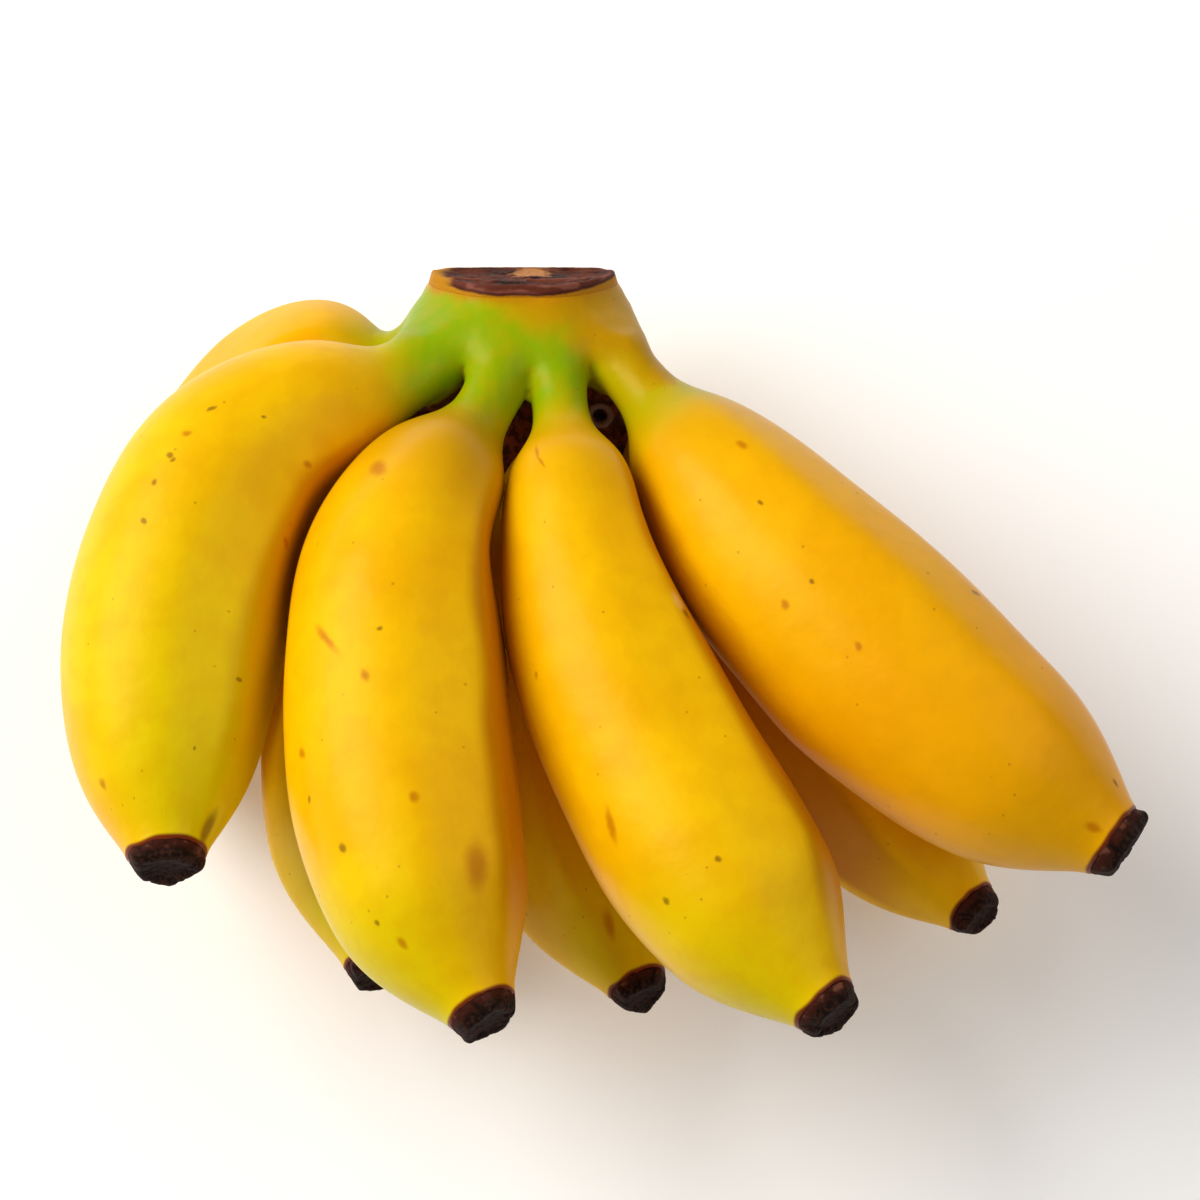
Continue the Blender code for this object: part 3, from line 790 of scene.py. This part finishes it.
def addTube(mesh, rings):  # a closed tube through rings of points, each ring extruded from the last
    made = bmesh.ops.create_circle(mesh, segments=len(rings[0]), radius=1, cap_ends=False)["verts"]
    made.sort(key=lambda v: math.atan2(v.co.y, v.co.x) % (2 * math.pi))
    for vertex, point in zip(made, rings[0]):
        vertex.co = Vector(point) * mm
    ring = made
    firstEdges = list({edge for vertex in ring for edge in vertex.link_edges})
    edges = firstEdges
    for points in rings[1:]:
        grown = bmesh.ops.extrude_edge_only(mesh, edges=edges)["geom"]
        edges = [e for e in grown if isinstance(e, bmesh.types.BMEdge)]
        fresh = {v for v in grown if isinstance(v, bmesh.types.BMVert)}
        nextRing = []
        for old in ring:
            nextRing.append(next(e.other_vert(old) for e in old.link_edges if e.other_vert(old) in fresh))
        for vertex, point in zip(nextRing, points):
            vertex.co = Vector(point) * mm
        edges = [e for e in edges if e.verts[0] in fresh and e.verts[1] in fresh]
        ring = nextRing
    bmesh.ops.contextual_create(mesh, geom=firstEdges)
    bmesh.ops.contextual_create(mesh, geom=edges)


def roughCrown():  # the core, necks and webs as tubes and balls, melted into one skin of small squares
    centre, outward, wide, thick = cutAxes()
    angle = np.linspace(0, 2 * np.pi, crownShape["sides"], endpoint=False)
    mesh = bmesh.new()
    rings = []
    for depth, halfWidth, above, below in crownShape["core"]:
        reach = np.where(np.sin(angle) > 0, below, above)
        spread = np.cos(angle)[:, None] * halfWidth * wide + (np.sin(angle) * reach)[:, None] * thick
        rings.append(centre - outward * depth + spread)
    addTube(mesh, rings)
    for finger in fingers.values():
        rings = []
        end = seamAt(finger) + fingerShape["tuck"]
        for distance in np.linspace(0, end, crownShape["neckRings"]):
            middle, ahead, aside, top = centreAt(finger, np.array([distance]))
            out = aside * np.cos(angle)[:, None] + top * np.sin(angle)[:, None]
            reach = surfaceRadius(finger, np.full_like(angle, distance), angle)
            rings.append(middle + out * reach[:, None])
        start, target = rootEnds(finger)
        rings.insert(0, target + (rings[0] - start) * crownShape["rootTaper"])
        addTube(mesh, rings)
    for start, startRadius, end, endRadius in crownShape["webs"]:
        for share in np.linspace(0, 1, crownShape["webBalls"]):
            place = Vector(start).lerp(Vector(end), share) * mm
            radius = (startRadius + (endRadius - startRadius) * share) * mm
            spot = Matrix.Translation(place)
            bmesh.ops.create_icosphere(mesh, subdivisions=3, radius=radius, matrix=spot)
    bmesh.ops.recalc_face_normals(mesh, faces=mesh.faces)
    rough = newPiece("crown_rough", mesh)
    remesh = rough.modifiers.new("remesh", "REMESH")
    remesh.mode = "VOXEL"
    remesh.voxel_size = crownShape["voxel"] * mm
    graph = bpy.context.evaluated_depsgraph_get()
    data = bpy.data.meshes.new_from_object(rough.evaluated_get(graph))
    bpy.data.objects.remove(rough)
    mesh = bmesh.new()
    mesh.from_mesh(data)
    bpy.data.meshes.remove(data)
    return mesh


def snapToField(mesh):  # moves every corner onto the smooth skin
    points = np.array([v.co for v in mesh.verts]) / mm
    for turn in range(2):
        value, fields, distances, bridges = crownField(points)
        slope = np.zeros_like(points)
        for k in range(3):
            step = np.zeros(3)
            step[k] = 0.05
            slope[:, k] = (crownField(points + step)[0] - value) / 0.05
        size = (slope**2).sum(-1)
        move = -slope * (value / np.maximum(size, 0.25))[:, None]
        # the ends of the necks, out of sight in the bananas, stay as they are
        ends = np.array([seamAt(finger) for finger in fingers.values()])
        past = distances - ends[:, None]
        fixed = ((fields < 2) & (past > fingerShape["tuck"] - 0.6)).any(0) & (bridges > 0.5)
        reach = np.linalg.norm(move, axis=-1, keepdims=True)
        move = move * np.minimum(1, 1.0 / np.maximum(reach, 1e-9))
        points = points + move * ~fixed[:, None]
    for vertex, point in zip(mesh.verts, points):
        vertex.co = Vector(point) * mm


def softenCreases(mesh, smoothed):  # where the necks rise out of the cushion
    points = np.array([v.co for v in mesh.verts]) / mm
    value, fields, distances, bridges = crownField(points)
    ends = np.array([seamAt(finger) for finger in fingers.values()])
    nearSeam = ((fields < 3) & (distances - ends[:, None] > -crownShape["seamKept"])).any(0)
    low, high = crownShape["creaseDepth"]
    depth = depthAt(points)
    soft = (depth > low) & (depth < high) & ~nearSeam
    chosen = [vertex for vertex, own in zip(mesh.verts, soft) if own]
    for turn in range(crownShape["creaseTurns"]):
        bmesh.ops.smooth_vert(mesh, verts=chosen, **smoothed)


# Colours and small forms of the crown's skin
crownSkin = {
    "stemDepth": (0.0, 7.0),  # orange-brown near the cut, gone by the second depth
    "stemSlant": 0.5,  # and that much deeper for each mm to the right of the cut's middle
    "bandDepth": (1.2, 3.0),  # and browner still right beside it
    "stemWaver": (2.0, 5.0),  # how unevenly both end, and the size of their swellings
    "bandWaver": (0.5, 4.0),
    "blend": 1.5,  # the necks' colours run into each other over this distance
    "olive": 0.6,  # how green the rest of the crown is
    "oliveReach": (4.0, 16.0),  # which gives way to each neck's own green between these distances along it
    "huskSpread": (-0.4, 1.6),  # the webs get painted shade, dark brown, where they come this close to the skin
    "huskGap": (0.4, 1.5),  # and so does what lies this far under the upper necks' skin, and this deep
    "huskDepth": (11.5, 13.0),
    "huskSides": (-31, 3),  # between these places across
    "scarPixel": (600, 416),  # a round scar of a lost flower, low between two necks
    "scarRadius": 1.75,
    "scarRim": 0.55,  # how high its rim stands and how deep its middle lies
    "scarHollow": 0.9,
    "groove": 0.06,  # faint furrows run down the crown
    "grooveWidth": 1.6,
}


def makeCrown():
    mesh = roughCrown()
    smoothed = {"factor": 0.5, "use_axis_x": True, "use_axis_y": True, "use_axis_z": True}
    for turn in range(3):
        snapToField(mesh)
        bmesh.ops.smooth_vert(mesh, verts=mesh.verts, **smoothed)
    snapToField(mesh)
    softenCreases(mesh, smoothed)
    centre, outward, wide, thick = cutAxes()
    place = centre - outward * crownShape["cutThickness"]
    everything = mesh.verts[:] + mesh.edges[:] + mesh.faces[:]
    plane = {"plane_co": Vector(place) * mm, "plane_no": Vector(outward)}
    bmesh.ops.bisect_plane(mesh, geom=everything, dist=1e-7, clear_outer=True, **plane)
    border = [edge for edge in mesh.edges if edge.is_boundary]
    bmesh.ops.contextual_create(mesh, geom=border)
    bmesh.ops.recalc_face_normals(mesh, faces=mesh.faces)
    for edge in border:
        edge.smooth = False  # the skin keeps its own shading up to the cut
    tree = BVHTree.FromBMesh(mesh)
    scar = hitThrough(tree, crownSkin["scarPixel"])
    points = np.array([v.co for v in mesh.verts]) / mm
    normals = np.array([v.normal for v in mesh.verts])
    value, fields, distances, bridges = crownField(points)
    weights = np.exp(-np.clip(fields, 0, None) / crownSkin["blend"])
    greens = []
    for finger, distance in zip(fingers.values(), distances):
        olive = crownSkin["olive"] * (1 - smoothStep(*crownSkin["oliveReach"], distance))
        greens.append(np.maximum(greenAt(finger, distance, points), olive))
    green = (weights * np.array(greens)).sum(0) / weights.sum(0)
    # painted shade on the shoulders runs on up the necks into the crown
    shoulderShades = [shoulderShadeAt(finger, distance) for finger, distance in zip(fingers.values(), distances)]
    dull = (weights * np.array(shoulderShades)).sum(0) / weights.sum(0)
    reach, size = crownSkin["stemWaver"]
    depth = depthAt(points) + reach * roughness(points, size)
    slant = crownSkin["stemSlant"] * (points[:, 0] - centre[0])
    stem = 1 - smoothStep(*crownSkin["stemDepth"], depth - slant)
    core = coreField(points)
    # painted shade: the webs go dark brown where they come close to the skin, down between the necks
    husk = 1 - smoothStep(*crownSkin["huskSpread"], bridges - np.minimum(fields.min(0), core))
    # painted shade also covers the core's own top, between the upper necks
    between = smoothStep(*crownSkin["huskGap"], fields[:4].min(0))
    between *= smoothStep(*crownSkin["huskDepth"], depthAt(points))
    between *= smoothStep(-0.1, 0.3, normals[:, 2]) * (core < fields[4:].min(0))
    between *= (points[:, 0] > crownSkin["huskSides"][0]) * (points[:, 0] < crownSkin["huskSides"][1])
    husk = np.maximum(husk, between)
    fromScar = np.linalg.norm(points - scar, axis=-1) / crownSkin["scarRadius"]
    lift = crownSkin["scarRim"] * np.exp(-(((fromScar - 1) / 0.25) ** 2))
    lift -= crownSkin["scarHollow"] * np.exp(-((fromScar / 0.6) ** 2))
    furrows = roughness(points / np.array((1, 5, 1.5)), crownSkin["grooveWidth"])
    lift += crownSkin["groove"] * furrows * smoothStep(0, 3, depthAt(points))
    for vertex, point in zip(mesh.verts, points + normals * lift[:, None]):
        if not vertex.is_boundary and depthAt(point) > crownShape["cutThickness"] + 0.3:
            vertex.co = Vector(point) * mm
    made = newPiece("crown_and_necks", mesh)
    reach, size = crownSkin["bandWaver"]
    band = 1 - smoothStep(*crownSkin["bandDepth"], depthAt(points) + reach * roughness(points, size))
    fields = {"green": green, "dull": dull, "stem": stem, "band": band, "husk": husk, "scar": fromScar}
    for key, values in fields.items():
        field = made.data.attributes.new(key, "FLOAT", "POINT")
        field.data.foreach_set("value", values.astype(np.float32))
    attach(made, "root")
    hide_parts("crown")
    return made


# The dried cut: a wrinkled face inside a thin, worn edge
cutShape = {
    "middle": 4.4,  # how far the middle of the face is above the widest line
    "sides": 220,
    # depth below the cut and share of the outline, from under the skin to the middle of the face
    "profile": (
        (2.6, 0.92), (2.0, 0.975), (1.6, 0.998), (1.1, 0.992), (0.5, 0.982), (0.0, 0.972), (-0.35, 0.96),
        (-0.55, 0.93), (-0.4, 0.88), (-0.1, 0.78), (0.1, 0.62), (0.1, 0.45), (0.1, 0.25), (0.15, 0.0),
    ),
    "rings": 70,
    "rough": 0.28,
    "ridge": 0.45,  # a torn ridge runs across the face, this high, at this place and this wide
    "ridgeAt": 5.2,
    "ridgeWidth": 0.8,
    "tanPixel": (532, 273),  # the middle of the tan patch
    "tanSize": (3.8, 2.8, 2.8),
    "climb": 1.3,  # the skin climbs this much further at both ends
    "wallWaver": 0.2,
    "corner": (-11.5, -14.0),  # skin-coloured from the first place across to the second
}


def outlineAt(depth, sides):  # the crown's outline in a plane below the cut, found by halving
    centre, outward, wide, thick = cutAxes()
    angle = np.linspace(0, 2 * np.pi, sides, endpoint=False)
    way = wide * np.cos(angle)[:, None] + thick * np.sin(angle)[:, None]
    middle = centre - outward * depth - thick * cutShape["middle"]
    low = np.zeros(sides)
    high = np.full(sides, 30.0)
    for turn in range(18):
        half = (low + high) / 2
        inside = crownField(middle + way * half[:, None])[0] < 0
        low = np.where(inside, half, low)
        high = np.where(inside, high, half)
    return way, low


def cutPoint(pixel):  # where a pixel of the photo meets the plane of the cut
    centre, outward, wide, thick = cutAxes()
    place, aim = (np.array(part) for part in rayThrough(pixel))
    return place + aim * ((centre - place) @ outward / (aim @ outward))


def makeCut():
    centre, outward, wide, thick = cutAxes()
    way, reach = outlineAt(crownShape["cutThickness"], cutShape["sides"])
    profile = np.array(cutShape["profile"])
    steps = np.append(0, np.cumsum(np.hypot(np.diff(profile[:, 0]), np.diff(profile[:, 1] * 12))))
    smooth = spline(steps, profile, np.linspace(0, steps[-1], cutShape["rings"]))
    depth = smooth[:, :1]
    share = np.clip(smooth[:, 1:], 0, None)
    share[-1] = 0
    middle = centre - thick * cutShape["middle"]
    points = middle - outward * depth[..., None] + way[None] * (reach[None, :] * share)[..., None]
    firm = (1 - smoothStep(0.9, 1.9, depth)) * (1 - 0.75 * smoothStep(0.84, 0.95, share))
    stretched = points / np.array((2.2, 1, 1))
    rough = roughness(stretched, 1.6) + 0.6 * roughness(points, 1.1) + 0.35 * roughness(points, 0.55)
    lift = cutShape["rough"] * rough
    above = -(points - centre) @ thick + 1.2 * roughness(points, 6)
    torn = np.exp(-(((above - cutShape["ridgeAt"]) / cutShape["ridgeWidth"]) ** 2))
    lift += cutShape["ridge"] * torn * smoothStep(1, 0.8, share)
    points = points + outward * (lift * firm)[..., None]
    flat = 0 * lift
    # skin climbs to the rim at the left corner, and further up the wall at both ends than in the middle
    aside = (points - centre) @ wide
    climb = cutShape["climb"] * (np.abs(aside) / crownShape["limit"][1][1]) ** 2
    wall = depth + climb * smoothStep(0.8, 0.95, share) + cutShape["wallWaver"] * roughness(points, 2.5)
    corner = smoothStep(*cutShape["corner"], aside + roughness(points, 3)) * smoothStep(0.8, 0.9, share)
    tanned = (points - cutPoint(cutShape["tanPixel"])) / np.array(cutShape["tanSize"])
    tan = np.linalg.norm(tanned, axis=-1) + 0.5 * rough
    fields = {"share": share + flat, "lift": lift, "wall": wall, "tan": tan, "corner": corner}
    fields = {key: np.concatenate([field[:1], field]) for key, field in fields.items()}
    underside = flat[:1, :, None] + points[:1].mean(1, keepdims=True)
    made = rollSheet("dried_cut", np.concatenate([underside, points]), fields)
    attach(made, "root")
    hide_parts("crown_cut")
    return made


pieces["crown"] = makeCrown()
print("crown is shaped")
pieces["cut"] = makeCut()
print("cut is shaped")


# Blemishes, where the photo shows them: kind, the pixels at both ends, and width in mm
marks = {
    "front_1": (
        ("dark", (209, 410), (215, 407), 0.6), ("dark", (263, 417), (265, 417), 0.5),
        ("rust", (185, 434), (188, 433), 0.7), ("dark", (169, 454), (171, 456), 0.7),
        ("dark", (172, 460), (174, 459), 0.5), ("dark", (154, 481), (154, 484), 0.6),
        ("dark", (143, 519), (145, 522), 0.6), ("rust", (306, 464), (309, 465), 0.9),
        ("rust", (285, 540), (287, 546), 0.9), ("dark", (238, 679), (240, 680), 0.6),
        ("rust", (102, 782), (103, 786), 0.8), ("dark", (212, 818), (203, 840), 1.8),
    ),
    "front_2": (
        ("rust", (375, 465), (381, 471), 1.5), ("rust", (319, 630), (334, 648), 0.8),
        ("dark", (379, 628), (381, 628), 0.5), ("rust", (364, 673), (366, 678), 0.8),
        ("rust", (301, 752), (303, 755), 0.8), ("dark", (309, 798), (309, 801), 0.5),
        ("rust", (413, 795), (415, 799), 0.9), ("dark", (342, 847), (344, 849), 0.9),
        ("rust", (476, 853), (478, 880), 2.3),
        ("dark", (376, 922), (378, 924), 0.6), ("rust", (400, 941), (404, 945), 0.8),
    ),
    "front_3": (
        ("rust", (536, 447), (538, 457), 0.35), ("rust", (538, 457), (544, 466), 0.3),
        ("scarred", (676, 596), (681, 606), 1.3), ("dark", (684, 610), (688, 617), 0.8),
        ("rust", (608, 813), (614, 837), 1.0), ("dark", (717, 858), (719, 860), 0.7),
        ("dark", (665, 900), (667, 902), 0.7),
    ),
    "front_4": (
        ("rust", (740, 443), (744, 446), 0.8), ("dark", (759, 502), (761, 504), 0.5),
        ("dark", (811, 580), (813, 582), 0.5), ("rust", (784, 603), (786, 606), 0.8),
        ("rust", (857, 645), (859, 648), 0.7),
        ("dark", (974, 592), (978, 594), 0.8), ("rust", (1092, 826), (1095, 829), 1.1),
        ("dark", (1114, 782), (1117, 784), 0.6),
    ),
    "back_1": (),
    "back_2": (),
    "back_3": (("rust", (608, 916), (611, 934), 1.0),),
    "back_4": (),
}
markLook = {
    "random": 3,  # more marks on each banana, wherever they fall
    "randomWidth": (0.35, 0.8),
    "randomEnds": 12,  # but not this close to the neck or to the blossom end
    "deep": 4.0,  # in mm, how far each reaches to the surface
    # where each fades out and is full, as a share of its half size
    "soft": {"dark": (1.4, 0.4), "rust": (1.7, 0.3), "scarred": (1.5, 0.3)},
    "grown": 1.5,  # how much wider than listed, as its edge is soft
    "waver": 0.5,  # how ragged the edges are, in mm, and the size of the rags
    "waverSize": 1.2,
}


def flowUnder(piece, tree, pixel):
    place, aim = rayThrough(pixel)
    found, normal, index, reach = tree.ray_cast(place * mm, aim)
    corners = piece.data.polygons[index].vertices
    weights = poly_3d_calc([piece.data.vertices[i].co for i in corners], found)
    flow = piece.data.attributes["flow"].data
    return sum((Vector(flow[i].vector) * w for i, w in zip(corners, weights)), Vector())


def placeMarks(name, piece):  # each mark's kind, place on the guide tube, turns and half sizes
    tree = BVHTree.FromPolygons(
        [v.co for v in piece.data.vertices], [p.vertices for p in piece.data.polygons]
    )
    finger = fingers[name]
    guide = ripening["guideRadius"]
    placed = []
    for kind, first, last, width in marks[name]:
        width *= markLook["grown"]
        start = flowUnder(piece, tree, first)
        end = flowUnder(piece, tree, last)
        middle = (start + end) / 2
        turn = math.atan2(middle.y, middle.x)
        across = (end - start).dot(Vector((-math.sin(turn), math.cos(turn), 0)))
        along = end.z - start.z
        tilt = math.atan2(-across, along)
        # the guide tube is wider than the banana near its ends, so a mark is stretched round it there
        stretch = guide / radiusAt(finger, np.array([middle.z]))[0]
        half = math.hypot(across, along) / 2 + width * 0.4
        wide = width / 2 * math.hypot(math.cos(tilt) * stretch, math.sin(tilt))
        placed.append((kind, middle, (tilt, 0, turn), (markLook["deep"], wide, half)))
    draw = random.Random(name)
    for i in range(markLook["random"]):
        turn = draw.uniform(0, 2 * math.pi)
        ends = markLook["randomEnds"]
        run = draw.uniform(finger["neck"] + ends, finger["length"] - ends)
        width = draw.uniform(*markLook["randomWidth"])
        place = Vector((guide * math.cos(turn), guide * math.sin(turn), run))
        sizes = (markLook["deep"], width / 2, width * draw.uniform(0.5, 1.4))
        kind = draw.choice(("dark", "rust"))
        placed.append((kind, place, (draw.uniform(-0.6, 0.6), 0, turn), sizes))
    return placed


# Ripe banana skin, waxy and smooth: broad soft highlights on golden yellow, which goes lime near the
# blossom end and green at the neck, with faint fibres along it, pinpricks and a few brown marks.
skinLook = {
    "base": "#F0B200",
    "fields": ("dull", "lime", "green"),
    "noises": {
        "patches": ((24, 24, 24), 3.0),
        "fibre": ((1.3, 1.3, 14), 2.0),
        "mottle": ((4.5, 4.5, 4.5), 3.0),
        "husky": ((1.4, 1.4, 1.4), 3.0),
    },
    "alongFlow": ("fibre",),
    "pinprickSpacing": 3.2,
    "layers": (
        (1.0, "#F7C000", ("patches", 0.38, 0.62)),
        (1.0, "#F0A000", ("amber",)),
        # painted shade down one side of each banana, partly the skin's own deeper gold
        (1.0, "#C87A00", ("flank",)),
        # painted shade on the shoulder
        (1.0, "#BE8C00", ("dull",)),
        (1.0, "#D2D000", ("lime",)),
        (1.0, "#86A400", ("green",)),
        (1.0, "#B68800", ("stem",)),
        (1.0, "#B87C06", ("band",)),
        (0.06, "#F09A00", ("fibre", 0.5, 0.75)),
        (0.16, "#D89400", ("mottle", 0.4, 0.66)),
        (0.4, "#7A4008", ("cell", 0.1, 0.05), ("chosen", 0.7, 0.75)),
        (0.35, "#FFD98A", ("scarred",)),
        (0.65, "#B45A00", ("rust",)),
        (0.65, "#5E300C", ("dark",)),
        # painted shade: dark brown on the crown's webs and on the core between the necks, darker in patches
        (1.0, "#7A3418", ("husk",)),
        (1.0, "#421A0C", ("husk",), ("husky", 0.6, 0.4)),
        (0.85, "#B48A7C", ("scar", 0.65, 0.9), ("scar", 1.4, 1.1)),
        (1.0, "#0E0606", ("scar", 0.7, 0.5)),
        (1.0, "#7A2E10", ("left", 0.7, 0.1)),
    ),
    "heights": (("fibre", 0.02), ("mottle", 0.16)),
    "roughness": ("patches", 0.4, 0.6, 0.31, 0.38),
    "specular": 0.4,
    "ior": 1.3,
    "sheen": "#FFE4A8",
}


def makeSkin(name, placed, extraFields):
    made, tree, shader = newMaterial(name)
    guide = None
    if placed:
        guide = add(tree, "ShaderNodeAttribute", {"attribute_name": "flow"}).outputs["Vector"]
    look = dict(skinLook, fields=skinLook["fields"] + extraFields)
    sources, inMm = readSources(tree, look, guide)
    start = guide or inMm
    settings = {"operation": "SCALE", "Scale": 1 / look["pinprickSpacing"]}
    spread = add(tree, "ShaderNodeVectorMath", settings, {0: start})
    cells = add(tree, "ShaderNodeTexVoronoi", {"Scale": 1.0}, {"Vector": spread.outputs[0]})
    sources["cell"] = cells.outputs["Distance"]
    sources["chosen"] = add(tree, "ShaderNodeSeparateColor", {}, {0: cells.outputs["Color"]}).outputs[0]
    # each mark is a soft spot in its own coordinates, on the tube that the fibres run along
    if placed:
        settings = {"Scale": 1 / markLook["waverSize"], "Detail": 1.0}
        ragged = add(tree, "ShaderNodeTexNoise", settings, {"Vector": guide})
        reach = markLook["waver"]
        settings = {"operation": "MULTIPLY_ADD", 1: (reach,) * 3, 2: (-reach / 2,) * 3}
        shifted = add(tree, "ShaderNodeVectorMath", settings, {0: ragged.outputs["Color"]})
        links = {0: guide, 1: shifted.outputs[0]}
        bent = add(tree, "ShaderNodeVectorMath", {"operation": "ADD"}, links).outputs[0]
    for kind, spot, turns, sizes in placed:
        settings = {"vector_type": "TEXTURE", "Location": spot, "Rotation": turns, "Scale": sizes}
        local = add(tree, "ShaderNodeMapping", settings, {"Vector": bent})
        away = add(tree, "ShaderNodeVectorMath", {"operation": "LENGTH"}, {0: local.outputs[0]})
        outer, inner = markLook["soft"][kind]
        settings = {"interpolation_type": "SMOOTHSTEP", "From Min": outer, "From Max": inner}
        near = add(tree, "ShaderNodeMapRange", settings, {"Value": away.outputs["Value"]}).outputs[0]
        if kind in sources:
            either = add(tree, "ShaderNodeMath", {"operation": "MAXIMUM"}, {0: sources[kind], 1: near})
            near = either.outputs[0]
        sources[kind] = near
    paint(tree, shader, sources, look)
    shader.inputs["IOR"].default_value = look["ior"]
    shader.inputs["Specular Tint"].default_value = linear(look["sheen"])
    return made


# The dried blossom end: a dark face like bark inside a maroon wall with paler, pinkish scuffs
tipLook = {
    "base": "#3E1A10",
    "fields": ("share", "past", "lift"),
    "noises": {"coarse": ((2.6, 2.6, 2.6), 3.0), "fine": ((0.7, 0.7, 0.7), 4.0)},
    "layers": (
        (0.4, "#946048", ("coarse", 0.54, 0.68)),
        (1.0, "#1C0E08", ("share", 0.93, 0.84)),
        (1.0, "#3C2218", ("share", 0.93, 0.84), ("fine", 0.4, 0.65)),
        (1.0, "#2A0C04", ("past", 0.45, 0.1)),
        # painted shade: the creases, where the dried flesh sinks, go near black
        (0.85, "#120A06", ("lift", -0.02, -0.22)),
    ),
    "heights": (("fine", 0.25),),
    "roughness": ("fine", 0.3, 0.7, 0.58, 0.66),
    "specular": 0.06,
}

# The dried cut of the crown: maroon and near black, with a tan patch where the flesh still shows, inside
# a smoother, worn edge, and with painted highlights on its raised parts and along its rim
cutLook = {
    "base": "#2C1008",
    "fields": ("share", "lift", "wall", "tan", "corner"),
    "noises": {"coarse": ((7.0, 2.2, 2.2), 3.0), "fine": ((1.2, 0.6, 0.6), 4.0)},
    "layers": (
        (1.0, "#5E2A18", ("coarse", 0.38, 0.6)),
        (0.4, "#8E4C36", ("fine", 0.5, 0.8)),
        # painted highlight: the raised parts of the face are lighter
        (0.6, "#8E4C36", ("lift", 0.15, 0.55)),
        (1.0, "#B87C48", ("tan", 1.1, 0.6)),
        (0.9, "#622C1C", ("share", 0.86, 0.93)),
        # painted highlight: pinkish-grey streaks along the rim
        (0.6, "#94584A", ("share", 0.86, 0.93), ("coarse", 0.45, 0.6)),
        (0.8, "#3A1008", ("wall", 0.5, 1.1)),
        (1.0, "#B87C06", ("wall", 1.1, 1.6)),
        (1.0, "#B87C06", ("corner",)),
    ),
    "heights": (("fine", 0.2),),
    "roughness": ("coarse", 0.3, 0.7, 0.5, 0.7),
    "specular": 0.12,
}


def makeDriedSkin(name, look):
    made, tree, shader = newMaterial(name)
    sources, inMm = readSources(tree, look)
    paint(tree, shader, sources, look)
    return made


tipSkin = makeDriedSkin("dried_blossom_end", tipLook)
for name, piece in pieces.items():
    if name == "crown":
        look = makeSkin("crown_skin", (), ("stem", "band", "husk", "scar"))
    elif name == "cut":
        look = makeDriedSkin("dried_banana_cut", cutLook)
    elif name.startswith("blossom"):
        look = tipSkin
    else:
        own = name.removeprefix("banana_")
        look = makeSkin("ripe_skin_" + own, placeMarks(own, piece), ("amber", "flank", "left"))
    piece.data.materials.append(look)
print("materials are on")


# A plain pale table, and soft light from the upper left
stageSetup = {
    "size": 3.0,
    "floor": "#F7F6F4",
    "floorGlow": 0.16,  # the table is lit a little from below, as for cut-out photos
    "key": {"place": (-0.95, 0.40, 0.94), "size": 1.15, "power": 21.5, "colour": "#FFFDFA"},
    "fill": {"place": (0.85, 0.15, 1.1), "size": 1.2, "power": 4.0, "colour": "#FFFFFF"},
    "sky": "#FFFFFF",
    "skyStrength": 0.24,
}


def makeStage():
    mesh = bmesh.new()
    bmesh.ops.create_grid(mesh, x_segments=1, y_segments=1, size=stageSetup["size"] / 2)
    floor = newPiece("floor", mesh)
    made, tree, shader = newMaterial("pale_table")
    shader.inputs["Base Color"].default_value = linear(stageSetup["floor"])
    shader.inputs["Roughness"].default_value = 0.9
    shader.inputs["Specular IOR Level"].default_value = 0.1
    shader.inputs["Emission Color"].default_value = linear(stageSetup["floor"])
    shader.inputs["Emission Strength"].default_value = stageSetup["floorGlow"]
    floor.data.materials.append(made)
    for name in ("key", "fill"):
        setup = stageSetup[name]
        data = bpy.data.lights.new(name, "AREA")
        data.shape = "DISK"
        data.size = setup["size"]
        data.energy = setup["power"]
        data.color = linear(setup["colour"])[:3]
        light = bpy.data.objects.new(name, data)
        bpy.context.scene.collection.objects.link(light)
        light.location = setup["place"]
        light.rotation_euler = (Vector((0, 0, 0.03)) - light.location).to_track_quat("-Z", "Y").to_euler()
    world = bpy.data.worlds.new("studio")
    world.use_nodes = True
    sky = world.node_tree.nodes["Background"]
    sky.inputs["Color"].default_value = linear(stageSetup["sky"])
    sky.inputs["Strength"].default_value = stageSetup["skyStrength"]
    bpy.context.scene.world = world
    bpy.context.scene.view_settings.view_transform = "Standard"


makeStage()
print("stage is lit")
